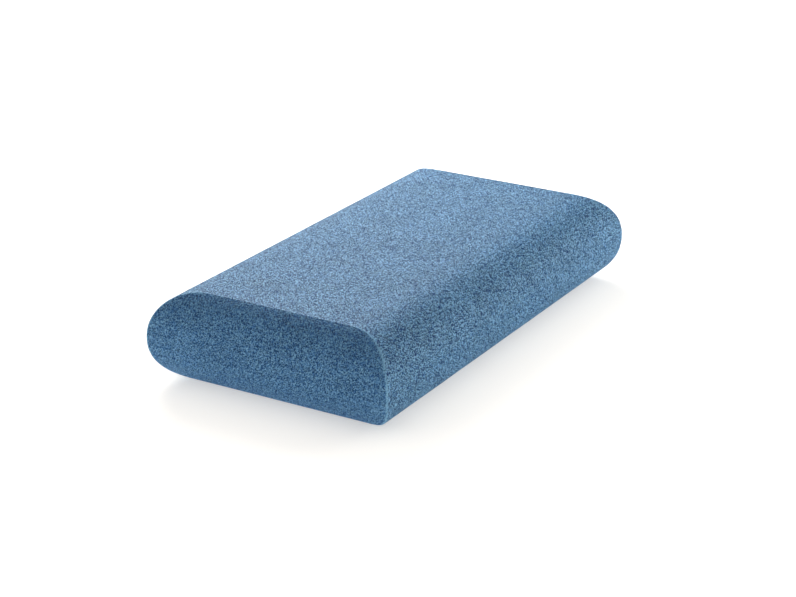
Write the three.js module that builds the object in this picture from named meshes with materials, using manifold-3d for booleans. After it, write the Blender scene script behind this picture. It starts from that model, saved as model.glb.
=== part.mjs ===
// Bed pillow: a bare foam block, glued up from a thick support core between two
// thinner comfort layers. Millimetres, +Z up. X is the length, Y is the depth, and
// the block lies on z = 0 with its middle over the origin.
import * as THREE from 'three';
import { mergeVertices, toCreasedNormals } from 'three/addons/utils/BufferGeometryUtils.js';
import Module from 'manifold-3d';

const wasm = await Module();
wasm.setup();

// Overall block
const LENGTH = 540; // crown of one end to crown of the other
const DEPTH = 290; // crown of one long side to crown of the other
const HEIGHT = 100; // flat bottom to flat top

// Outline of the ends and of the long sides
const END_CROWN = 31; // how far an end bulges past its top and bottom edges
const SIDE_RUN = 54; // from the crown of a long side in to where the flat top starts
const SIDE_FULLNESS = 2.4; // 2 is a true half-round, more is squarer

// Layers, from the bottom up: comfort, core, comfort
const COMFORT_THICKNESS = 25; // each outer layer
const BOND_THICKNESS = 0.4; // glue film, pressed into the face of the core
const BOND_SETBACK = 8; // glue kept back from the rim of the joint
const BOND_CORNER = 20; // corner radius of the glued area
const BOND_CLEARANCE = 0.3; // play between the edge of a film and the foam around it

// Smoothness
const CURVE_FACETS = 56; // facets around a side or an end, bottom to top
const CORNER_FACETS = 8; // facets around a corner of the glued area
const CREASE = THREE.MathUtils.degToRad(20); // sharper turns than this are drawn as edges

const HALF_HEIGHT = HEIGHT / 2;
const LOWER_JOINT = COMFORT_THICKNESS; // height of the lower glued joint
const UPPER_JOINT = HEIGHT - COMFORT_THICKNESS; // height of the upper glued joint

// ---------------------------------------------------------------- outline curves

// Half the length of the block at height z: a circular arc, crowned at mid height.
function halfLength(z) {
  const radius = (HALF_HEIGHT ** 2 + END_CROWN ** 2) / (2 * END_CROWN);
  const drop = radius - Math.sqrt(radius ** 2 - (z - HALF_HEIGHT) ** 2);
  return LENGTH / 2 - drop;
}

// Half the depth of the block at height z: a full, rounded side that runs smoothly
// into the flat top and bottom.
function halfDepth(z) {
  const rise = Math.min(1, Math.abs(z - HALF_HEIGHT) / HALF_HEIGHT);
  const reach = (1 - rise ** SIDE_FULLNESS) ** (1 / SIDE_FULLNESS);
  return DEPTH / 2 - SIDE_RUN * (1 - reach);
}

// Heights of the facet edges from low to high, closer together near the flats. Their
// number is even, so that one of them is the crown where low and high lie around it.
function heights(low, high) {
  const angle = (z) => Math.acos(1 - z / HALF_HEIGHT);
  const start = angle(low);
  const sweep = angle(high) - start;
  const count = 2 * Math.ceil((sweep / Math.PI) * (CURVE_FACETS / 2));
  const inner = [];
  for (let i = 1; i < count; i += 1) {
    inner.push(HALF_HEIGHT * (1 - Math.cos(start + (sweep * i) / count)));
  }
  return [low, ...inner, high];
}

// Closed outline, symmetric about the middle, whose half width at height z is half(z).
function outline(half, low, high) {
  const levels = heights(low, high);
  const right = levels.map((z) => new THREE.Vector2(half(z), z));
  const left = levels.map((z) => new THREE.Vector2(-half(z), z)).reverse();
  return new THREE.Shape([...right, ...left]);
}

// ---------------------------------------------------------------- solids

function toSolid(geometry) {
  const bare = geometry.clone();
  bare.deleteAttribute('normal');
  bare.deleteAttribute('uv');
  const merged = mergeVertices(bare, 1e-5);
  return new wasm.Manifold(new wasm.Mesh({
    numProp: 3,
    vertProperties: new Float32Array(merged.attributes.position.array),
    triVerts: new Uint32Array(merged.index.array),
  }));
}

function toGeometry(solid) {
  const mesh = solid.getMesh();
  const geometry = new THREE.BufferGeometry();
  geometry.setAttribute('position', new THREE.BufferAttribute(mesh.vertProperties, 3));
  geometry.setIndex(new THREE.BufferAttribute(mesh.triVerts, 1));
  return toCreasedNormals(geometry, CREASE);
}

// A shape drawn in (across, up) and pushed out evenly to both sides along `along`.
function pushedOut(shape, across, up, along, thickness) {
  const geometry = new THREE.ExtrudeGeometry(shape, { depth: thickness, bevelEnabled: false });
  geometry.translate(0, 0, -thickness / 2);
  geometry.applyMatrix4(new THREE.Matrix4().makeBasis(across, up, along));
  return toSolid(geometry);
}

// The part of the block between two heights. Where the curved ends meet the curved
// sides they cross in a mitre, as when a block is cut once along and once across.
function slab(low, high) {
  const x = new THREE.Vector3(1, 0, 0);
  const y = new THREE.Vector3(0, 1, 0);
  const z = new THREE.Vector3(0, 0, 1);
  const cutAcross = pushedOut(outline(halfLength, low, high), x, z, y.clone().negate(), DEPTH * 2);
  const cutAlong = pushedOut(outline(halfDepth, low, high), y, z, x, LENGTH * 2);
  return cutAcross.intersect(cutAlong);
}

// A rectangle with rounded corners, centred on the origin.
function roundedRectangle(length, depth, corner) {
  const x = length / 2 - corner;
  const y = depth / 2 - corner;
  const quarter = Math.PI / 2;
  const shape = new THREE.Shape();
  shape.absarc(x, -y, corner, -quarter, 0);
  shape.absarc(x, y, corner, 0, quarter);
  shape.absarc(-x, y, corner, quarter, 2 * quarter);
  shape.absarc(-x, -y, corner, 2 * quarter, 3 * quarter);
  return shape;
}

// The glued area of the joint at height `joint`, as a sheet from low to high.
function bondSheet(joint, low, high, setback) {
  const length = 2 * (halfLength(joint) - setback);
  const depth = 2 * (halfDepth(joint) - setback);
  const geometry = new THREE.ExtrudeGeometry(roundedRectangle(length, depth, BOND_CORNER), {
    depth: high - low,
    bevelEnabled: false,
    curveSegments: CORNER_FACETS,
  });
  geometry.translate(0, 0, low);
  return toSolid(geometry);
}

// ---------------------------------------------------------------- pieces

function lowerSheet(setback) {
  return bondSheet(LOWER_JOINT, LOWER_JOINT, LOWER_JOINT + BOND_THICKNESS, setback);
}

function upperSheet(setback) {
  return bondSheet(UPPER_JOINT, UPPER_JOINT - BOND_THICKNESS, UPPER_JOINT, setback);
}

// The core's two faces give way under the films, so the rims of the layers still meet.
function supportCore() {
  const setback = BOND_SETBACK - BOND_CLEARANCE;
  return slab(LOWER_JOINT, UPPER_JOINT)
    .subtract(lowerSheet(setback))
    .subtract(upperSheet(setback));
}

function foam(colour) {
  return new THREE.MeshStandardMaterial({ color: colour, roughness: 0.9, metalness: 0 });
}

function glue(colour) {
  return new THREE.MeshStandardMaterial({ color: colour, roughness: 0.6, metalness: 0 });
}

function piece(name, solid, material) {
  const mesh = new THREE.Mesh(toGeometry(solid), material);
  mesh.name = name;
  return mesh;
}

const pillow = new THREE.Group();
pillow.name = 'bed_pillow';
pillow.add(
  piece('lower_comfort_layer', slab(0, LOWER_JOINT), foam(0x7a9cba)),
  piece('lower_bond_film', lowerSheet(BOND_SETBACK), glue(0xe4dfc8)),
  piece('support_core', supportCore(), foam(0x7395b4)),
  piece('upper_bond_film', upperSheet(BOND_SETBACK), glue(0xe4dfc8)),
  piece('upper_comfort_layer', slab(UPPER_JOINT, HEIGHT), foam(0x7a9cba)),
);

export default pillow;
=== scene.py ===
"""A bed pillow in bare blue foam: three foam layers glued face to face, on a pale studio floor.

Everything is in metres. X runs along the pillow, Y across it and Z up through its thickness.
The skin of the whole block is made once, with its pores pressed in, and is then parted at the
two glued joints, so that the pores run on from one layer to the next.
"""

import logging
import math
from dataclasses import dataclass, field
from enum import Enum
from typing import Any

import bpy
import numpy as np
from mathutils import Matrix, Vector

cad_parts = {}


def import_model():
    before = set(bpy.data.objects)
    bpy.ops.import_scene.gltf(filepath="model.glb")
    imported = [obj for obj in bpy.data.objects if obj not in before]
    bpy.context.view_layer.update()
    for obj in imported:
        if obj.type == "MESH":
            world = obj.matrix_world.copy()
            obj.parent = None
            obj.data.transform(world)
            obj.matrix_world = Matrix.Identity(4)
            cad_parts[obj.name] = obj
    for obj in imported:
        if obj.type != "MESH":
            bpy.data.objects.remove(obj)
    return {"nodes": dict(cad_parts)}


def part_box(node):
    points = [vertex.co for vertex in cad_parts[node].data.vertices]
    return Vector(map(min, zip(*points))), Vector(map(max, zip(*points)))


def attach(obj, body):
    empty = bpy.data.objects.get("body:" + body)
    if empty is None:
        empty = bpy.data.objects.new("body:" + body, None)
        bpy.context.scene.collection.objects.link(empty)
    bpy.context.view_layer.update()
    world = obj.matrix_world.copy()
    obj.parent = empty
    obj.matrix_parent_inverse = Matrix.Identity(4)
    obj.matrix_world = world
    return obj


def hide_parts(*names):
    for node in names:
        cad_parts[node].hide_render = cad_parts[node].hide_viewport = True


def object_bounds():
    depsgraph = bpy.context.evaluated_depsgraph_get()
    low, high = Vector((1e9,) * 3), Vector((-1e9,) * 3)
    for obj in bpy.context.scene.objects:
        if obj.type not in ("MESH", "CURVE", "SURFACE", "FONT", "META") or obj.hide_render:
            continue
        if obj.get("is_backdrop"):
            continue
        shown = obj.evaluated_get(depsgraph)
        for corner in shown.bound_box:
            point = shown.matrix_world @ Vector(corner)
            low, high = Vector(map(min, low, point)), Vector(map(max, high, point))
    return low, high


LOG = logging.getLogger("bed_pillow")
REST_NAME = "uncut_place"  # each point's place before the pores were pressed in
EDGE_NAME = "edge_gap"  # each point's distance from the nearest mitre
SHARE_NAME = "face_share"  # how far each point belongs to an end, a long side and a flat face
MM = 0.001
TINY = 1e-9  # anything shorter counts as nothing

Socket = bpy.types.NodeSocket
Pair = tuple[float, float]
Triple = tuple[float, float, float]  # a number along each of X, Y and Z
Faces = tuple[float, float, float]  # a number for the ends, the long sides and the flat faces
Colour = tuple[float, float, float]

WHITE: Colour = (1.0, 1.0, 1.0)


class Closing(Enum):
    """How a layer is closed at its top or at its bottom."""

    SKIN = "the block's own flat face, with pores"
    FLAT = "a plain glued face"
    POCKET = "a glued face with a shallow hollow for the glue film"


class Face(Enum):
    """The four sides that a ring of points runs along, in order."""

    FRONT = 0
    RIGHT = 1
    BACK = 2
    LEFT = 3


# ---------------------------------------------------------------- wiring nodes


class NodeSheet:
    """Adds nodes to one tree and wires them up."""

    def __init__(self, tree: bpy.types.NodeTree) -> None:
        """Keeps the tree that the nodes go into."""
        self.tree = tree

    def add(
        self, kind: str, inputs: dict[Any, Any] | None = None, **settings: Any
    ) -> bpy.types.Node:
        """Adds one node.

        Args:
            kind: Blender's name for the node type.
            inputs: for each input, by name or number, a plain value or the socket that feeds it.
            **settings: the node's own settings.

        Returns:
            The new node.
        """
        node = self.tree.nodes.new(kind)
        for name, value in settings.items():
            setattr(node, name, value)
        for key, value in (inputs or {}).items():
            if isinstance(value, Socket):
                self.tree.links.new(value, node.inputs[key])
            else:
                node.inputs[key].default_value = value
        return node

    def math(self, operation: str, *values: Any) -> Socket:
        """Adds a Math node.

        Args:
            operation: what it works out, such as "MULTIPLY".
            *values: its inputs, as numbers or sockets.

        Returns:
            The socket with the result.
        """
        return self.add("ShaderNodeMath", dict(enumerate(values)), operation=operation).outputs[0]

    def ease(
        self, value: Any, start: Any, end: Any, low: Any = 0.0, high: Any = 1.0
    ) -> Socket:
        """Turns a value into a soft step.

        Args:
            value: the number that goes in.
            start: where the step begins.
            end: where the step ends.
            low: the result before the step.
            high: the result after it.

        Returns:
            The socket with the result.
        """
        inputs = {"Value": value, "From Min": start, "From Max": end, "To Min": low, "To Max": high}
        node = self.add("ShaderNodeMapRange", inputs, interpolation_type="SMOOTHSTEP")
        return node.outputs["Result"]

    def blend(self, share: Any, first: Any, second: Any, way: str = "MIX") -> Socket:
        """Blends two colours.

        Args:
            share: how much of the second one shows, from 0 to 1.
            first: the first colour or its socket.
            second: the second colour or its socket.
            way: the blend mode.

        Returns:
            The socket with the blended colour.
        """
        node = self.add("ShaderNodeMix", data_type="RGBA", blend_type=way, clamp_result=False)
        for number, value in ((0, share), (6, first), (7, second)):
            if isinstance(value, Socket):
                self.tree.links.new(value, node.inputs[number])
            else:
                filled = (*value, 1.0) if isinstance(value, tuple) else value
                node.inputs[number].default_value = filled
        return node.outputs[2]

    def shaded(self, colour: Socket, tone: Socket) -> Socket:
        """Wires up a colour made lighter or darker by a number, and returns its socket."""
        grey = self.add("ShaderNodeCombineXYZ", {0: tone, 1: tone, 2: tone}).outputs[0]
        return self.blend(1.0, colour, grey, "MULTIPLY")

    def cells(self, place: Socket, size: float, scatter: float) -> bpy.types.Node:
        """Scatters cells through space.

        Args:
            place: the point where they are read.
            size: mean distance from one cell to the next.
            scatter: 0 is an even grid, 1 is fully random.

        Returns:
            The node, which gives the distance to the nearest cell and a random colour for it.
        """
        inputs = {"Vector": place, "Scale": 1 / size, "Randomness": scatter}
        return self.add("ShaderNodeTexVoronoi", inputs)

    def noise(self, place: Socket, scale: float, detail: float = 2.0) -> Socket:
        """Wires up a smooth noise.

        Args:
            place: the point where it is read.
            scale: how many of its humps go into a metre.
            detail: how many finer layers it has.

        Returns:
            The socket with a number around 0.5.
        """
        inputs = {"Vector": place, "Scale": scale, "Detail": detail}
        return self.add("ShaderNodeTexNoise", inputs).outputs[0]

    def stretched(self, place: Socket, factors: Triple) -> Socket:
        """Wires up a place with a factor put on each axis, and returns its socket."""
        inputs = {0: place, 1: factors}
        return self.add("ShaderNodeVectorMath", inputs, operation="MULTIPLY").outputs[0]

    def kept(self, name: str, output: str = "Vector") -> Socket:
        """Wires up what the mesh keeps under a name, and returns its socket."""
        return self.add("ShaderNodeAttribute", attribute_name=name).outputs[output]

    def surface(self, inputs: dict[str, Any]) -> None:
        """Adds the surface shader of a material.

        Args:
            inputs: for each of its inputs, a plain value or the socket that feeds it.
        """
        shader = self.add("ShaderNodeBsdfPrincipled", inputs)
        self.add("ShaderNodeOutputMaterial", {"Surface": shader.outputs[0]})


def new_material(name: str) -> tuple[bpy.types.Material, NodeSheet]:
    """Starts a material.

    Args:
        name: the material's name.

    Returns:
        The material and an empty sheet for its nodes.
    """
    material = bpy.data.materials.new(name)
    material.use_nodes = True
    material.node_tree.nodes.clear()
    return material, NodeSheet(material.node_tree)


# ---------------------------------------------------------------- finishes


@dataclass(frozen=True)
class PoreSize:
    """One size of open pore, spread at random through the foam."""

    cell: float  # mean distance from one pore to the next
    radius: Pair  # smallest and largest pore radius, as shares of cell
    depth: float  # how deep it is, pressed into the skin or shown in the finish
    floor: float = 0.2  # radius of a pore's flat bottom, as a share of its own radius
    scatter: float = 0.85  # 0 is an even grid of pores, 1 is fully random

    def wire(self, sheet: NodeSheet, place: Socket) -> Socket:
        """Wires up this pore size.

        Args:
            sheet: where the nodes go, in a material or in a shape.
            place: the point in the foam.

        Returns:
            A socket that is 0 on the web between pores and 1 at the bottom of a pore.
        """
        cells = sheet.cells(place, self.cell, self.scatter)
        chance = sheet.add("ShaderNodeSeparateXYZ", {0: cells.outputs["Color"]}).outputs[0]
        small, large = self.radius
        radius = sheet.math("MULTIPLY_ADD", chance, large - small, small)
        floor = sheet.math("MULTIPLY", radius, self.floor)
        return sheet.ease(cells.outputs["Distance"], radius, floor)


@dataclass(frozen=True)
class FoamGrain:
    """The open pores of the cut foam and the slight unevenness of the cut."""

    coarse: PoreSize = PoreSize(cell=4.2 * MM, radius=(0.25, 0.5), depth=0.4 * MM, scatter=1.0)
    medium: PoreSize = PoreSize(cell=1.6 * MM, radius=(0.37, 0.51), depth=2.2 * MM, floor=0.4)
    waviness: float = 0.35 * MM
    wave_length: float = 38 * MM
    swell: float = 0.45 * MM  # how far the web stands out, so that the mean size is kept
    strand: float = 0.8 * MM  # width of one strand of the web

    def waves(self, sheet: NodeSheet, place: Socket) -> Socket:
        """Wires up the slow unevenness of the cut, around 0.5, and returns its socket."""
        return sheet.noise(place, 1 / self.wave_length)

    def fleck(self, sheet: NodeSheet, place: Socket) -> Socket:
        """Wires up a random number from 0 to 1 for each strand, and returns its socket."""
        strands = sheet.cells(place, self.strand, 1.0)
        return sheet.add("ShaderNodeSeparateXYZ", {0: strands.outputs["Color"]}).outputs[1]

    def sink(self, sheet: NodeSheet, place: Socket) -> Socket:
        """Wires up how far the skin is pressed in at a point.

        Args:
            sheet: where the nodes go.
            place: the point in the foam.

        Returns:
            A socket with the distance in metres.
        """
        waves = sheet.math("MULTIPLY_ADD", self.waves(sheet, place), self.waviness, -self.swell)
        pores = self.coarse.wire(sheet, place)
        return sheet.math("MULTIPLY_ADD", pores, self.coarse.depth, waves)


@dataclass(frozen=True)
class FoamFinish:
    """Dyed open-cell foam: a pale web, with painted shade that makes its pores darker and richer
    and painted glints on its strands.
    """

    name: str
    web: Colour = (0.096, 0.302, 0.7)
    # painted shade: the pores' dark, rich colour stands in for the shade inside them
    pore: Colour = (0.001, 0.043, 0.235)
    # partly the strands' own pale colour, partly painted glints of light on them
    strand_and_painted_glint: Colour = (0.34, 0.69, 1.0)
    grain: FoamGrain = FoamGrain()
    fluff_height: float = 0.12 * MM  # the finest fluff on the web
    fluff_scale: float = 900.0  # tufts of it to a metre
    fleck: float = 1.1  # how much the tone varies from strand to strand
    strand_height: float = 0.6 * MM
    coarse_share: float = 0.05  # how much painted shade a coarse pore gets
    medium_share: float = 1.1  # and a finer one
    openness: float = -0.27  # added to the tone, so that more or less of the foam looks dark
    middle: float = 0.45  # the tone at which the foam has the colour of its web
    cloud: float = 0.3  # how much the colour drifts over the waves of the cut
    contrast_and_painted_relief: Faces = (0.9, 2.4, 2.1)  # how much the pores differ from the web on the ends, the long sides and the flat faces: partly their own grain, partly painted relief shading, stronger where grazing light falls on the sides and top
    relief_depth: Faces = (0.75, 1.35, 1.0)  # how deep they look
    closeness: Triple = (0.65, 1.05, 1.05)  # the pores lie further apart along the pillow
    edge_width: float = 2.7 * MM  # how far in from a mitre the foam gets a painted highlight and its relief fades out
    painted_edge_highlight: float = 1.5  # how much the painted highlight lightens it
    edge_rag: float = 0.9 * MM  # how far single strands break up that painted highlight
    edge_flat: float = 0.25  # share of its width that has no relief
    roughness: float = 0.6
    gloss: float = 0.14
    sheen: float = 0.2
    sheen_roughness: float = 0.2
    sheen_tint: Colour = (0.2, 0.55, 1.0)

    def material(self) -> bpy.types.Material:
        """Makes the foam's material.

        Returns:
            The material, with its pores lined up with those pressed into the skin.
        """
        material, sheet = new_material(self.name)
        place = sheet.kept(REST_NAME)
        sheet.surface(
            {
                "Base Color": self.colours(sheet, place),
                "Normal": self.relief(sheet, place),
                "Roughness": self.roughness,
                "Specular IOR Level": self.gloss,
                "Sheen Weight": self.sheen,
                "Sheen Roughness": self.sheen_roughness,
                "Sheen Tint": (*self.sheen_tint, 1.0),
            }
        )
        return material

    def colours(self, sheet: NodeSheet, place: Socket) -> Socket:
        """Wires up the colour of the web, with painted shade in the pores, painted glints on the
        strands between them and a painted highlight along the mitres.

        Args:
            sheet: the material's nodes.
            place: the point in the foam.

        Returns:
            The socket with the colour.
        """
        drawn = sheet.stretched(place, self.closeness)
        fleck = self.grain.fleck(sheet, drawn)
        coarse = self.grain.coarse.wire(sheet, place)
        medium = self.grain.medium.wire(sheet, drawn)
        tone = sheet.math("MULTIPLY_ADD", fleck, self.fleck, self.openness)
        tone = sheet.math("MULTIPLY_ADD", coarse, self.coarse_share, tone)
        tone = sheet.math("MULTIPLY_ADD", medium, self.medium_share, tone)
        tone = sheet.math("SUBTRACT", tone, self.middle)
        tone = sheet.math("MULTIPLY_ADD", tone, self.by_face(sheet, self.contrast_and_painted_relief), self.middle)
        # painted highlight: a pale line along each mitre, where the cut edge would catch the light
        gap = sheet.kept(EDGE_NAME, "Fac")
        ragged = sheet.math("MULTIPLY_ADD", fleck, self.edge_rag, gap)
        painted_mitre_highlight = sheet.ease(ragged, 0.0, self.edge_width, -self.painted_edge_highlight, 0.0)
        # the ramp runs from the strands' pale colour with painted glints, through the web, to the
        # painted shade in the pores
        ramp = sheet.add("ShaderNodeValToRGB", {0: sheet.math("ADD", tone, painted_mitre_highlight)})
        stops = ramp.color_ramp.elements
        stops[0].color = (*self.strand_and_painted_glint, 1.0)
        stops.new(self.middle).color = (*self.web, 1.0)
        stops[2].color = (*self.pore, 1.0)
        waves = self.grain.waves(sheet, place)
        clouds = sheet.math("MULTIPLY_ADD", waves, self.cloud, 1 - self.cloud / 2)
        return sheet.shaded(ramp.outputs[0], clouds)

    def relief(self, sheet: NodeSheet, place: Socket) -> Socket:
        """Wires up the relief that is finer than the skin's own points.

        Args:
            sheet: the material's nodes.
            place: the point in the foam.

        Returns:
            The socket with the bent normal.
        """
        drawn = sheet.stretched(place, self.closeness)
        fleck = self.grain.fleck(sheet, drawn)
        medium = self.grain.medium.wire(sheet, drawn)
        height = sheet.math("MULTIPLY", sheet.noise(place, self.fluff_scale), self.fluff_height)
        height = sheet.math("MULTIPLY_ADD", fleck, -self.strand_height, height)
        height = sheet.math("MULTIPLY_ADD", medium, -self.grain.medium.depth, height)
        gap = sheet.kept(EDGE_NAME, "Fac")
        away = sheet.ease(gap, self.edge_flat * self.edge_width, self.edge_width)
        depth = sheet.math("MULTIPLY", away, self.by_face(sheet, self.relief_depth))
        inputs = {"Height": height, "Strength": 1.0, "Distance": depth}
        return sheet.add("ShaderNodeBump", inputs).outputs[0]

    def by_face(self, sheet: NodeSheet, numbers: Faces) -> Socket:
        """Wires up a number that differs between the ends, the long sides and the flat faces.

        Args:
            sheet: the material's nodes.
            numbers: what it is on each.

        Returns:
            The socket with the number.
        """
        inputs = {0: sheet.kept(SHARE_NAME), 1: numbers}
        node = sheet.add("ShaderNodeVectorMath", inputs, operation="DOT_PRODUCT")
        return node.outputs["Value"]


@dataclass(frozen=True)
class GlueFinish:
    """A dried film of milky, rubbery glue."""

    name: str = "dried glue film"
    thin: Colour = (0.62, 0.58, 0.44)
    thick: Colour = (0.8, 0.76, 0.62)
    drag: Triple = (1.0, 9.0, 1.0)  # the roller went along X and drew the streaks out
    streak_scale: float = 30.0
    streak_detail: float = 5.0
    streak_edge: Pair = (0.35, 0.65)
    relief_strength: float = 0.4
    relief_depth: float = 0.1 * MM
    roughness: float = 0.5

    def material(self) -> bpy.types.Material:
        """Makes the glue's material, with streaks from the roller, and returns it."""
        material, sheet = new_material(self.name)
        place = sheet.add("ShaderNodeTexCoord").outputs["Object"]
        dragged = sheet.stretched(place, self.drag)
        streaks = sheet.noise(dragged, self.streak_scale, self.streak_detail)
        colour = sheet.blend(sheet.ease(streaks, *self.streak_edge), self.thin, self.thick)
        relief = {"Strength": self.relief_strength, "Distance": self.relief_depth}
        bump = sheet.add("ShaderNodeBump", {"Height": streaks, **relief}).outputs[0]
        sheet.surface({"Base Color": colour, "Normal": bump, "Roughness": self.roughness})
        return material


@dataclass(frozen=True)
class FloorFinish:
    """Matt white studio card that glows a little, so that shadows on it stay pale, with a painted
    contact shadow that keeps them tight.
    """

    name: str = "white studio card"
    colour: Colour = (0.91, 0.862, 0.79)
    mottle: float = 0.985  # tone of its darker patches
    mottle_scale: float = 3.0
    glow: float = 0.24
    shown_glow: float = 0.6  # more of it where the card itself is looked at
    far_glow: float = 1.0  # and towards its rim, so that it runs into the white room
    glow_tint: Colour = (1.0, 0.98, 0.95)
    fade: Pair = (0.9, 1.6)  # distances from the middle between which it brightens
    painted_shadow_depth: float = 0.44  # how dark the painted contact shadow is right beside what stands on it
    contact_reach: float = 0.12
    contact_rays: int = 4

    def material(self) -> bpy.types.Material:
        """Makes the card's material, with a faint mottle.

        Returns:
            The material, with a painted contact shadow beside what stands on it and brighter
            towards its rim.
        """
        material, sheet = new_material(self.name)
        place = sheet.add("ShaderNodeTexCoord").outputs["Object"]
        # painted contact shadow: seen from the camera, the card's colour and glow are darkened
        # where little open air is around it
        looked_at = sheet.add("ShaderNodeLightPath").outputs["Is Camera Ray"]
        reach = {"Distance": self.contact_reach}
        open_air = sheet.add("ShaderNodeAmbientOcclusion", reach, samples=self.contact_rays)
        painted_shadow_share = sheet.math("SUBTRACT", 1.0, open_air.outputs["AO"])
        painted_shadow_share = sheet.math("MULTIPLY", painted_shadow_share, looked_at)
        painted_contact_shadow = sheet.math("MULTIPLY_ADD", painted_shadow_share, -self.painted_shadow_depth, 1.0)
        darker = tuple(self.mottle * part for part in self.colour)
        card = sheet.blend(sheet.noise(place, self.mottle_scale), darker, self.colour)
        away = sheet.add("ShaderNodeVectorMath", {0: place}, operation="LENGTH").outputs["Value"]
        shown = sheet.ease(away, *self.fade, self.shown_glow, self.far_glow)
        glow = sheet.math("MULTIPLY_ADD", looked_at, shown, self.glow)
        sheet.surface(
            {
                "Base Color": sheet.shaded(card, painted_contact_shadow),
                "Roughness": 1.0,
                "Specular IOR Level": 0.0,
                "Emission Color": (*self.glow_tint, 1.0),
                "Emission Strength": sheet.math("MULTIPLY", glow, painted_contact_shadow),
            }
        )
        return material


# ---------------------------------------------------------------- shape of the block


@dataclass(frozen=True)
class BlockShape:
    """The outline of the whole block."""

    length: float
    depth: float
    height: float
    end_crown: float = 31 * MM  # how far an end bulges past its top and bottom edges
    side_crown: float = 47 * MM  # height of the crown of a long side, which has settled a little
    upper_run: float = 60 * MM  # from the crown of a long side in to the flat top
    lower_run: float = 52 * MM  # and in to the flat underside
    side_fullness: float = 2.4  # 2 is a true half-round, more is squarer
    mitre_radius: float = 1.2 * MM  # softness of the four mitres
    rim: float = 6 * MM  # how far down its sides the look of a flat face reaches
    samples: int = 6001  # heights at which the outline is measured, to space out the rings

    def half_length(self, z: np.ndarray) -> np.ndarray:
        """Half the length of the block at height z."""
        half = self.height / 2
        radius = (half**2 + self.end_crown**2) / (2 * self.end_crown)
        return self.length / 2 - radius + np.sqrt(radius**2 - (z - half) ** 2)

    def half_depth(self, z: np.ndarray) -> np.ndarray:
        """Half the depth of the block at height z."""
        above = z > self.side_crown
        span = np.where(above, self.height - self.side_crown, self.side_crown)
        run = np.where(above, self.upper_run, self.lower_run)
        rise = np.clip(np.abs(z - self.side_crown) / span, 0, 1)
        reach = (1 - rise**self.side_fullness) ** (1 / self.side_fullness)
        return self.depth / 2 - run * (1 - reach)

    def gaps(self, points: np.ndarray) -> tuple[np.ndarray, np.ndarray]:
        """How far points lie in from an end and from a long side.

        Args:
            points: their places on the smooth skin.

        Returns:
            The distance along the block and the distance across it.
        """
        to_end = self.half_length(points[:, 2]) - np.abs(points[:, 0])
        to_side = self.half_depth(points[:, 2]) - np.abs(points[:, 1])
        return to_end, to_side

    def edge_gap(self, points: np.ndarray) -> np.ndarray:
        """How far points of the smooth skin are from the nearest mitre."""
        return np.maximum(*self.gaps(points))

    def face_share(self, points: np.ndarray) -> np.ndarray:
        """How far points of the smooth skin belong to an end, to a long side and to a flat face.

        Args:
            points: their places.

        Returns:
            Three shares for each point, which add up to 1.
        """
        to_end, to_side = self.gaps(points)
        to_flat = np.minimum(points[:, 2], self.height - points[:, 2])
        end = (to_end < to_side) & (to_flat > TINY)
        side = np.where(end, 0.0, np.clip(to_flat / self.rim, 0, 1))
        return np.stack([end, side, 1 - end - side], axis=1)

    def levels(self, joints: Pair, step: float) -> tuple[np.ndarray, list[int]]:
        """Spaces out the rings of points from the underside to the top.

        Args:
            joints: heights of the two glued joints, which each get a ring of their own.
            step: largest distance between two rings, along the skin.

        Returns:
            The height of each ring, and which rings are at 0, at the joints and at the top.
        """
        z = self.height / 2 * (1 - np.cos(np.linspace(0, math.pi, self.samples)))
        rise = np.diff(z)
        end = np.hypot(np.diff(self.half_length(z)), rise)
        side = np.hypot(np.diff(self.half_depth(z)), rise)
        travel = np.concatenate([[0], np.cumsum(np.maximum(end, side))])
        stops = np.interp([0, *joints, self.height], z, travel)
        heights, marks = [0.0], [0]
        for low, high, top in zip(stops[:-1], stops[1:], (*joints, self.height)):
            between = np.linspace(low, high, math.ceil((high - low) / step) + 1)[1:-1]
            heights += [*np.interp(between, travel, z), top]
            marks.append(len(heights) - 1)
        return np.array(heights), marks


def soften_corners(points: np.ndarray, half: np.ndarray, radius: float) -> np.ndarray:
    """Rounds the corners of a rectangle that is full of points.

    Args:
        points: places in the rectangle, as rows of x and y.
        half: half the rectangle's length and depth.
        radius: radius of the rounded corners.

    Returns:
        The same points, with those in the four corners drawn in.
    """
    inner = np.clip(points, -(half - radius), half - radius)
    out = points - inner
    reach = np.abs(out).max(axis=-1, keepdims=True)
    span = np.linalg.norm(out, axis=-1, keepdims=True)
    return inner + out * reach / np.maximum(span, TINY)


def grid_quads(grid: np.ndarray) -> np.ndarray:
    """The quads of a grid of point numbers, as (rows, columns, 4)."""
    return np.stack([grid[:-1, :-1], grid[1:, :-1], grid[1:, 1:], grid[:-1, 1:]], axis=-1)


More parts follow.
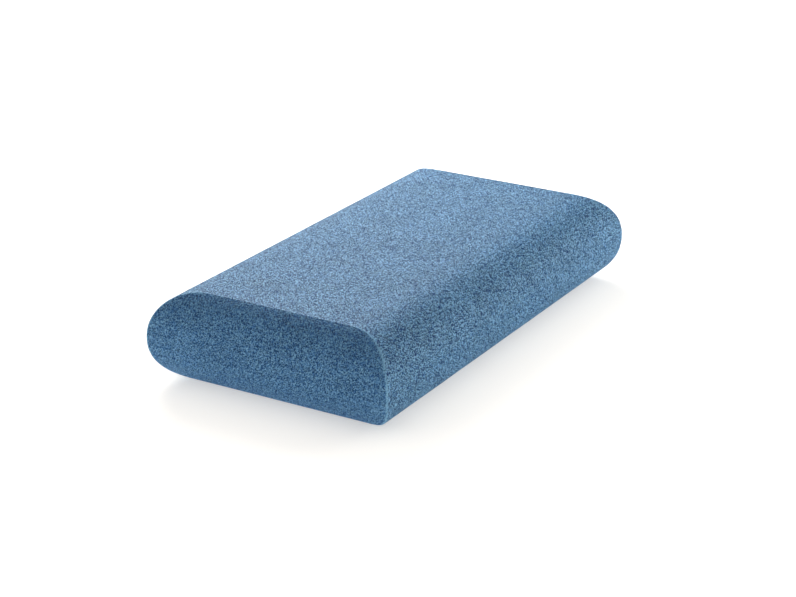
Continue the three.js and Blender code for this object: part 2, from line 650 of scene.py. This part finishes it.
@dataclass
class FoamSkin:
    """The skin of the whole block: rings of points up its sides, and a grid on each flat face."""

    shape: BlockShape
    grain: FoamGrain
    joints: Pair
    along: int = 360  # quads along the length
    across: int = 170  # quads across the depth
    step: float = 1.4 * MM  # distance between rings
    near_mitre: Triple = (0.5 * MM, 1.2 * MM, 2.3 * MM)  # the first points in from a mitre
    rest: np.ndarray = field(init=False)
    points: np.ndarray = field(init=False)
    normals: np.ndarray = field(init=False)
    marks: list[int] = field(init=False)
    rings: np.ndarray = field(init=False)
    grids: dict[bool, np.ndarray] = field(init=False)
    climb: np.ndarray = field(init=False)
    spread_along: np.ndarray = field(init=False)
    spread_across: np.ndarray = field(init=False)

    def __post_init__(self) -> None:
        """Makes the smooth skin, presses the pores in, and levels the two joints."""
        heights, self.marks = self.shape.levels(self.joints, self.step)
        self.spread_along = self.spread(self.along, self.shape.length / 2)
        self.spread_across = self.spread(self.across, self.shape.depth / 2)
        half = np.stack([self.shape.half_length(heights), self.shape.half_depth(heights)], axis=1)
        slope = np.abs(np.diff(half, axis=0)).max(axis=1)
        self.climb = np.concatenate([[0], np.cumsum(np.hypot(slope, np.diff(heights)))])
        walls = self.walls(heights, half)
        count, around = walls.shape[:2]
        self.rings = np.arange(count * around).reshape(count, around)
        sheets = [walls.reshape(-1, 3)]
        self.grids = {}
        for top in (False, True):
            row = count - 1 if top else 0
            first = sum(len(sheet) for sheet in sheets)
            self.grids[top], inside = self.flat_face(row, half[row], heights[row], first)
            sheets.append(inside)
        self.rest = np.concatenate(sheets)
        self.press_pores()
        self.points[:, 2] = np.maximum(self.points[:, 2], 0.0)
        for mark, z in zip(self.marks[1:3], self.joints):
            self.points[self.rings[mark], 2] = z

    def spread(self, count: int, half: float) -> np.ndarray:
        """Spaces points out along one side of the block, closer together at its two mitres.

        Args:
            count: how many quads the side has.
            half: half its length.

        Returns:
            The points' places, from -1 to 1.
        """
        close = np.array([0.0, *self.near_mitre]) / half
        ends = len(self.near_mitre)
        inner = np.linspace(close[ends] - 1, 1 - close[ends], count + 1 - 2 * ends)
        return np.concatenate([close[:ends] - 1, inner, 1 - close[ends - 1 :: -1]])

    def walls(self, heights: np.ndarray, half: np.ndarray) -> np.ndarray:
        """Places the rings of points up the four sides.

        Args:
            heights: the height of each ring.
            half: half the length and half the depth of each.

        Returns:
            The points, as (rings, around, 3).
        """
        outline = self.outline()
        points = np.empty((len(heights), len(outline), 3))
        for number, (z, size) in enumerate(zip(heights, half)):
            flat = soften_corners(outline * size, size, self.shape.mitre_radius)
            points[number] = np.column_stack([flat, np.full(len(flat), z)])
        return points

    def outline(self) -> np.ndarray:
        """The points of a ring on a square from -1 to 1, starting at the front left corner."""
        x, y = self.spread_along[:-1], self.spread_across[:-1]
        front = np.stack([x, np.full_like(x, -1)], axis=1)
        right = np.stack([np.full_like(y, 1), y], axis=1)
        return np.concatenate([front, right, -front, -right])

    def flat_face(
        self, row: int, half: np.ndarray, z: float, first: int
    ) -> tuple[np.ndarray, np.ndarray]:
        """Fills a flat face with points.

        Args:
            row: the ring at its edge.
            half: half its length and depth.
            z: its height.
            first: the number that its first inner point gets.

        Returns:
            The numbers of its points as a grid, and the places of the inner ones.
        """
        nx, ny = self.along, self.across
        grid = np.empty((nx + 1, ny + 1), dtype=np.int64)
        ring = self.rings[row]
        grid[:nx, 0] = ring[:nx]
        grid[nx, :ny] = ring[nx : nx + ny]
        grid[nx:0:-1, ny] = ring[nx + ny : 2 * nx + ny]
        grid[0, ny:0:-1] = ring[2 * nx + ny :]
        x, y = np.meshgrid(self.spread_along[1:-1], self.spread_across[1:-1], indexing="ij")
        flat = soften_corners(np.stack([x, y], axis=-1) * half, half, self.shape.mitre_radius)
        inside = np.concatenate([flat, np.full((*flat.shape[:2], 1), z)], axis=-1).reshape(-1, 3)
        grid[1:nx, 1:ny] = first + np.arange(len(inside)).reshape(nx - 1, ny - 1)
        return grid, inside

    def wall_quads(self, low: int, high: int) -> np.ndarray:
        """The quads between ring low and ring high, as (rings, around, 4)."""
        here = self.rings[low:high]
        above = self.rings[low + 1 : high + 1]
        return np.stack([here, np.roll(here, -1, 1), np.roll(above, -1, 1), above], axis=-1)

    def face_quads(self, top: bool) -> np.ndarray:
        """The quads of the flat top or the flat underside, as (along, across, 4)."""
        quads = grid_quads(self.grids[top])
        return quads if top else quads[..., ::-1]

    def press_pores(self) -> None:
        """Presses the pores into the smooth skin and keeps the new places and normals."""
        quads = np.concatenate(
            [
                self.wall_quads(0, len(self.rings) - 1).reshape(-1, 4),
                self.face_quads(True).reshape(-1, 4),
                self.face_quads(False).reshape(-1, 4),
            ]
        )
        blank = make_mesh("uncut skin", self.rest, [quads])
        worker = bpy.data.objects.new("uncut skin", blank)
        bpy.context.scene.collection.objects.link(worker)
        modifier = worker.modifiers.new("pores", "NODES")
        modifier.node_group = self.press_nodes()
        graph = bpy.context.evaluated_depsgraph_get()
        pressed = worker.evaluated_get(graph).to_mesh()
        self.points = triples(pressed.vertices, "co")
        self.normals = triples(pressed.vertex_normals, "vector")
        worker.evaluated_get(graph).to_mesh_clear()
        group = modifier.node_group
        bpy.data.objects.remove(worker)
        bpy.data.meshes.remove(blank)
        bpy.data.node_groups.remove(group)

    def press_nodes(self) -> bpy.types.NodeTree:
        """Wires up the nodes that press each point in, and returns them."""
        tree = bpy.data.node_groups.new("press pores", "GeometryNodeTree")
        for way in ("INPUT", "OUTPUT"):
            tree.interface.new_socket("Geometry", in_out=way, socket_type="NodeSocketGeometry")
        sheet = NodeSheet(tree)
        inlet = sheet.add("NodeGroupInput")
        place = sheet.add("GeometryNodeInputPosition").outputs[0]
        normal = sheet.add("GeometryNodeInputNormal").outputs[0]
        inwards = sheet.math("MULTIPLY", self.grain.sink(sheet, place), -1.0)
        scaled = {0: normal, "Scale": inwards}
        shift = sheet.add("ShaderNodeVectorMath", scaled, operation="SCALE").outputs[0]
        moving = {"Geometry": inlet.outputs[0], "Offset": shift}
        moved = sheet.add("GeometryNodeSetPosition", moving)
        sheet.add("NodeGroupOutput", {0: moved.outputs[0]})
        return tree


# ---------------------------------------------------------------- meshes


def triples(items: Any, name: str) -> np.ndarray:
    """Reads three numbers from each of a mesh's items, as rows."""
    values = np.empty(len(items) * 3, dtype=np.float32)
    items.foreach_get(name, values)
    return values.reshape(-1, 3).astype(float)


def make_mesh(name: str, points: np.ndarray, parts: list[np.ndarray]) -> bpy.types.Mesh:
    """Makes a mesh from numbered points.

    Args:
        name: the mesh's name.
        points: the places of the points.
        parts: arrays of faces, each with one row of point numbers per face.

    Returns:
        The mesh, with smooth faces.
    """
    mesh = bpy.data.meshes.new(name)
    corners = np.concatenate([part.ravel() for part in parts]).astype(np.int32)
    totals = np.concatenate([np.full(len(part), part.shape[1]) for part in parts]).astype(np.int32)
    starts = np.concatenate([[0], np.cumsum(totals)[:-1]]).astype(np.int32)
    mesh.vertices.add(len(points))
    mesh.vertices.foreach_set("co", points.astype(np.float32).ravel())
    mesh.loops.add(len(corners))
    mesh.loops.foreach_set("vertex_index", corners)
    mesh.polygons.add(len(totals))
    mesh.polygons.foreach_set("loop_start", starts)
    mesh.polygons.foreach_set("loop_total", totals)
    mesh.update(calc_edges=True)
    mesh.validate()
    mesh.polygons.foreach_set("use_smooth", np.ones(len(totals), dtype=bool))
    return mesh


@dataclass
class Island:
    """A stretch of a layer's skin laid out flat, for its texture map."""

    corners: np.ndarray  # (faces, corners, 2), in metres
    scale: float = 1.0

    def size(self) -> np.ndarray:
        """Width and height of the laid out stretch."""
        flat = self.corners.reshape(-1, 2)
        return (flat.max(axis=0) - flat.min(axis=0)) * self.scale

    def placed(self, corner: np.ndarray) -> np.ndarray:
        """Its corner places with its lowest corner at the one given."""
        flat = self.corners.reshape(-1, 2)
        return (self.corners - flat.min(axis=0)) * self.scale + corner


def lay_out(islands: list[Island], gap: float = 4 * MM) -> list[np.ndarray]:
    """Lays islands out in rows on a unit square.

    Args:
        islands: what to lay out, widest first.
        gap: clear space between them.

    Returns:
        The place of each island's face corners on the square.
    """
    width = max(island.size()[0] for island in islands) + 2 * gap
    x = y = gap
    row = 0.0
    placed = []
    for island in islands:
        size = island.size()
        if x + size[0] + gap > width + TINY:
            x, y, row = gap, y + row + gap, 0.0
        placed.append(island.placed(np.array([x, y])))
        x += size[0] + gap
        row = max(row, size[1])
    span = np.array([width, y + row + gap])
    return [corners / span for corners in placed]


@dataclass
class FoamLayer:
    """One foam layer, cut from the skin between two heights and closed with its glued faces."""

    node: str
    slot: str
    skin: FoamSkin
    finish: FoamFinish
    number: int  # 0 is the lowest layer
    below: Closing
    above: Closing
    pocket_play: float = 0.3 * MM  # from the edge of the glue film out to the foam
    pocket_depth: float = 0.4 * MM
    pocket_corner: float = 20 * MM
    hidden_scale: float = 0.2  # size of the glued faces on the texture map, where 1 is true size
    pocket_rise: float = 2.0  # how far the walls of a pocket are spread out on that map
    extra: list[np.ndarray] = field(init=False, default_factory=list)
    faces: list[np.ndarray] = field(init=False, default_factory=list)
    facing: list[np.ndarray] = field(init=False, default_factory=list)
    islands: list[Island] = field(init=False, default_factory=list)

    def build(self) -> bpy.types.Object:
        """Builds the layer as one closed mesh and dresses it.

        Returns:
            The finished piece.
        """
        low, high = self.skin.marks[self.number], self.skin.marks[self.number + 1]
        self.add_walls(low, high)
        self.close(low, self.below, False)
        self.close(high, self.above, True)
        points = np.concatenate([self.skin.points, *self.extra])
        rest = np.concatenate([self.skin.rest, *self.extra])
        used = np.unique(np.concatenate([part.ravel() for part in self.faces]))
        renumber = np.full(len(points), -1)
        renumber[used] = np.arange(len(used))
        mesh = make_mesh(self.node + "_foam", points[used], [renumber[part] for part in self.faces])
        self.store_rest(mesh, rest[used])
        self.store_map(mesh)
        normals = np.concatenate([part.reshape(-1, 3) for part in self.facing])
        mesh.normals_split_custom_set(normals.tolist())
        piece = bpy.data.objects.new(mesh.name, mesh)
        bpy.context.scene.collection.objects.link(piece)
        mesh.materials.append(self.finish.material())
        return piece

    def add_walls(self, low: int, high: int) -> None:
        """Adds the layer's share of the four sides.

        Args:
            low: its lowest ring.
            high: its highest ring.
        """
        quads = self.skin.wall_quads(low, high)
        nx, ny = self.skin.along, self.skin.across
        stops = np.cumsum([0, nx, ny, nx, ny])
        climb = self.skin.climb[low : high + 1]
        for face in (Face.FRONT, Face.BACK, Face.LEFT, Face.RIGHT):
            first, last = stops[face.value], stops[face.value + 1]
            long = face in (Face.FRONT, Face.BACK)
            half = (self.skin.shape.length if long else self.skin.shape.depth) / 2
            run = (self.skin.spread_along if long else self.skin.spread_across) * half
            u = np.stack([run[:-1], run[1:], run[1:], run[:-1]], -1)[None]
            v = np.stack([climb[:-1], climb[:-1], climb[1:], climb[1:]], -1)[:, None]
            flat = np.stack(np.broadcast_arrays(u, v), -1)
            self.add_part(quads[:, first:last].reshape(-1, 4), flat.reshape(-1, 4, 2))

    def add_part(
        self, faces: np.ndarray, flat: np.ndarray, facing: Triple | None = None, scale: float = 1.0
    ) -> None:
        """Adds faces to the layer.

        Args:
            faces: rows of point numbers.
            flat: the place of each face corner when laid out flat.
            facing: the way the faces look, or None to use the skin's own normals.
            scale: their size on the texture map, where 1 is true size.
        """
        self.faces.append(faces)
        if facing is None:
            self.facing.append(self.skin.normals[faces])
        else:
            self.facing.append(np.broadcast_to(np.array(facing), (*faces.shape, 3)))
        self.islands.append(Island(flat, scale))

    def close(self, row: int, closing: Closing, top: bool) -> None:
        """Closes the layer at its top or bottom.

        Args:
            row: the ring at the edge of that face.
            closing: what kind of face it is.
            top: whether it faces up.
        """
        if closing is Closing.SKIN:
            faces = self.skin.face_quads(top).reshape(-1, 4)
            self.add_part(faces, self.skin.rest[faces][..., :2])
            return
        facing = (0.0, 0.0, 1.0 if top else -1.0)
        rim = self.skin.rings[row]
        z = self.skin.joints[0 if row == self.skin.marks[1] else 1]
        inner = self.inner_ring(z, z)
        self.add_band(rim, inner, facing, top)
        if closing is Closing.POCKET:
            floor = self.inner_ring(z, z - self.pocket_depth if top else z + self.pocket_depth)
            self.add_band(inner, floor, facing, top)
            inner = floor
        loop = inner if top else inner[::-1]
        flat = self.place_of(loop)[None, :, :2]
        self.add_part(loop[None], flat, facing, self.hidden_scale)

    def inner_ring(self, joint: float, z: float) -> np.ndarray:
        """Adds a ring of points just inside the rim of a joint.

        Args:
            joint: height of the joint that it follows.
            z: height of the points.

        Returns:
            The numbers of the new points.
        """
        film = "lower_bond_film" if joint == self.skin.joints[0] else "upper_bond_film"
        half = np.array(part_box(film)[1])[:2] + self.pocket_play
        flat = soften_corners(self.skin.outline() * half, half, self.pocket_corner)
        first = len(self.skin.points) + sum(len(part) for part in self.extra)
        self.extra.append(np.column_stack([flat, np.full(len(flat), z)]))
        return np.arange(first, first + len(flat))

    def place_of(self, numbers: np.ndarray) -> np.ndarray:
        """The places of some of the layer's points."""
        return np.concatenate([self.skin.points, *self.extra])[numbers]

    def add_band(self, outer: np.ndarray, inner: np.ndarray, facing: Triple, top: bool) -> None:
        """Adds a band of quads between two rings.

        Args:
            outer: the point numbers of the outer ring.
            inner: the point numbers of the inner ring.
            facing: the way the band looks.
            top: whether it faces up.
        """
        quads = np.stack([outer, np.roll(outer, -1), np.roll(inner, -1), inner], axis=-1)
        quads = quads if top else quads[:, ::-1]
        place = self.place_of(quads)
        flat = place[..., :2] + place[..., 2:] * self.pocket_rise
        self.add_part(quads, flat, facing, self.hidden_scale)

    def store_rest(self, mesh: bpy.types.Mesh, rest: np.ndarray) -> None:
        """Keeps what the finish reads at each point.

        Args:
            mesh: the layer's mesh.
            rest: each point's place before the pores were pressed in.
        """
        shape = self.skin.shape
        for name, kind, part, values in (
            (REST_NAME, "FLOAT_VECTOR", "vector", rest),
            (EDGE_NAME, "FLOAT", "value", shape.edge_gap(rest)),
            (SHARE_NAME, "FLOAT_VECTOR", "vector", shape.face_share(rest)),
        ):
            layer = mesh.attributes.new(name, kind, "POINT")
            layer.data.foreach_set(part, values.astype(np.float32).ravel())

    def store_map(self, mesh: bpy.types.Mesh) -> None:
        """Keeps the layout of the texture map."""
        numbers = range(len(self.islands))
        order = sorted(numbers, key=lambda number: -self.islands[number].size()[0])
        placed = dict(zip(order, lay_out([self.islands[number] for number in order])))
        corners = np.concatenate([placed[number].reshape(-1, 2) for number in numbers])
        texture_map = mesh.uv_layers.new(name="OFBake")
        texture_map.data.foreach_set("uv", corners.astype(np.float32).ravel())


# ---------------------------------------------------------------- the pillow


@dataclass
class Pillow:
    """The whole pillow: three foam layers and the two glue films between them."""

    shape: BlockShape
    grain: FoamGrain = FoamGrain()

    def build(self) -> None:
        """Builds each foam layer in turn, from the bottom up."""
        low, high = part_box("support_core")
        skin = FoamSkin(self.shape, self.grain, (float(low[2]), float(high[2])))
        comfort = FoamFinish("comfort foam", grain=self.grain)
        support = FoamFinish("support foam", grain=self.grain)
        layers = (
            FoamLayer(
                "lower_comfort_layer", "comfort_foam", skin, comfort, 0, Closing.SKIN, Closing.FLAT
            ),
            FoamLayer(
                "support_core", "support_foam", skin, support, 1, Closing.POCKET, Closing.POCKET
            ),
            FoamLayer(
                "upper_comfort_layer", "comfort_foam", skin, comfort, 2, Closing.FLAT, Closing.SKIN
            ),
        )
        for layer in layers:
            piece = layer.build()
            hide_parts(layer.node)
            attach(piece, "root")
            LOG.info("%s: %d faces", piece.name, len(piece.data.polygons))

    def dress_films(self, nodes: dict[str, bpy.types.Object]) -> None:
        """Gives the two glue films their finish.

        Args:
            nodes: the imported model's objects by name.
        """
        glue = GlueFinish().material()
        for name in ("lower_bond_film", "upper_bond_film"):
            for place in nodes[name].material_slots:
                place.material = glue
            LOG.info("%s: dressed", name)


# ---------------------------------------------------------------- the studio


@dataclass(frozen=True)
class SoftBox:
    """A large soft lamp that points at the pillow."""

    name: str
    azimuth: float  # degrees, 0 is in front of the long side at -Y, 90 at the end at +X
    elevation: float
    distance: float
    size: Pair
    power: float
    colour: Colour = WHITE

    def build(self, aim: Vector) -> None:
        """Hangs the lamp.

        Args:
            aim: the point that it faces.
        """
        lamp = bpy.data.lights.new(self.name, "AREA")
        lamp.shape = "RECTANGLE"
        lamp.size, lamp.size_y = self.size
        lamp.energy = self.power
        lamp.color = self.colour
        stand = bpy.data.objects.new(self.name, lamp)
        bpy.context.scene.collection.objects.link(stand)
        stand.matrix_world = looking(aim, self.azimuth, self.elevation, self.distance)


def looking(aim: Vector, azimuth: float, elevation: float, distance: float) -> Matrix:
    """Places something that looks at a point.

    Args:
        aim: the point.
        azimuth: degrees round the pillow, 0 at -Y and 90 at +X.
        elevation: degrees above the floor.
        distance: metres from the point.

    Returns:
        Its place and turn, with its own -Z axis on the point and its own X axis level.
    """
    turn, lift = math.radians(azimuth), math.radians(elevation)
    level = math.cos(lift)
    back = Vector((math.sin(turn) * level, -math.cos(turn) * level, math.sin(lift)))
    right = Vector((math.cos(turn), math.sin(turn), 0.0))
    place = Matrix((right, back.cross(right), back)).transposed().to_4x4()
    place.translation = aim + back * distance
    return place


@dataclass
class Studio:
    """A white floor in a white room, soft lamps and the camera."""

    camera_azimuth: float = -59.314
    camera_elevation: float = 21.55
    camera_distance: float = 2.178
    camera_lens: float = 88.95  # millimetres
    camera_sensor: float = 36.0  # width in millimetres
    camera_range: Pair = (0.05, 60.0)
    aim_right: float = -2.56 * MM  # from the middle of the pillow to the middle of the view
    aim_up: float = -17.87 * MM
    floor_size: float = 4.2
    floor_drop: float = 0.2 * MM  # how far the floor lies clear of the pillow
    floor_lines: int = 9  # points along each side of the floor
    sky: float = 0.194
    lamps: tuple[SoftBox, ...] = (
        SoftBox("back softbox", 135.0, 30.0, 2.2, (1.4, 1.1), 47.0),
        SoftBox("low side softbox", 50.0, 12.0, 2.2, (1.4, 1.1), 22.0),
        SoftBox("end fill", -120.0, 12.0, 2.2, (1.4, 1.1), 5.5),
    )

    def build(self, middle: Vector) -> None:
        """Sets up the whole studio.

        Args:
            middle: the middle of the pillow.
        """
        self.lay_floor()
        self.light_sky()
        for lamp in self.lamps:
            lamp.build(middle)
        self.place_camera(middle)
        LOG.info("studio: floor, sky, %d lamps and camera", len(self.lamps))

    def lay_floor(self) -> None:
        """Lays the floor under the pillow."""
        half = self.floor_size / 2
        steps = np.linspace(-half, half, self.floor_lines)
        x, y = np.meshgrid(steps, steps, indexing="ij")
        points = np.stack([x, y, np.full_like(x, -self.floor_drop)], axis=-1).reshape(-1, 3)
        quads = grid_quads(np.arange(x.size).reshape(x.shape)).reshape(-1, 4)
        floor = bpy.data.objects.new("studio_floor", make_mesh("studio_floor", points, [quads]))
        bpy.context.scene.collection.objects.link(floor)
        floor.data.materials.append(FloorFinish().material())
        floor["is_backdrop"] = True

    def light_sky(self) -> None:
        """Lights the white room around the pillow."""
        world = bpy.data.worlds.new("white room")
        world.use_nodes = True
        world.node_tree.nodes.clear()
        sheet = NodeSheet(world.node_tree)
        white = (*WHITE, 1.0)
        seen = sheet.add("ShaderNodeBackground", {"Color": white, "Strength": 1.0})
        lit = sheet.add("ShaderNodeBackground", {"Color": white, "Strength": self.sky})
        path = sheet.add("ShaderNodeLightPath").outputs["Is Camera Ray"]
        both = sheet.add("ShaderNodeMixShader", {0: path, 1: lit.outputs[0], 2: seen.outputs[0]})
        sheet.add("ShaderNodeOutputWorld", {0: both.outputs[0]})
        bpy.context.scene.world = world

    def place_camera(self, middle: Vector) -> None:
        """Places the camera.

        Args:
            middle: the middle of the pillow.
        """
        lens = bpy.data.cameras.new("camera")
        lens.sensor_fit = "HORIZONTAL"
        lens.sensor_width = self.camera_sensor
        lens.lens = self.camera_lens
        lens.clip_start, lens.clip_end = self.camera_range
        camera = bpy.data.objects.new("camera", lens)
        bpy.context.scene.collection.objects.link(camera)
        way = (self.camera_azimuth, self.camera_elevation)
        aim = looking(middle, *way, 0.0) @ Vector((self.aim_right, self.aim_up, 0.0))
        camera.matrix_world = looking(aim, *way, self.camera_distance)
        bpy.context.scene.camera = camera


def plain(box: Any) -> list[list[float]]:
    """A box's two corners as plain lists of numbers."""
    return [[float(part) for part in corner] for corner in box]


def main() -> None:
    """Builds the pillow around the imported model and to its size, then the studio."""
    logging.basicConfig(level=logging.INFO, format="%(name)s: %(message)s")
    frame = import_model()
    cad = plain(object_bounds())
    bpy.context.scene.view_settings.view_transform = "Standard"
    low, high = Vector(cad[0]), Vector(cad[1])
    size = high - low
    pillow = Pillow(BlockShape(size.x, size.y, size.z))
    pillow.build()
    pillow.dress_films(frame["nodes"])
    Studio().build((low + high) / 2)


if __name__ == "__main__":
    main()
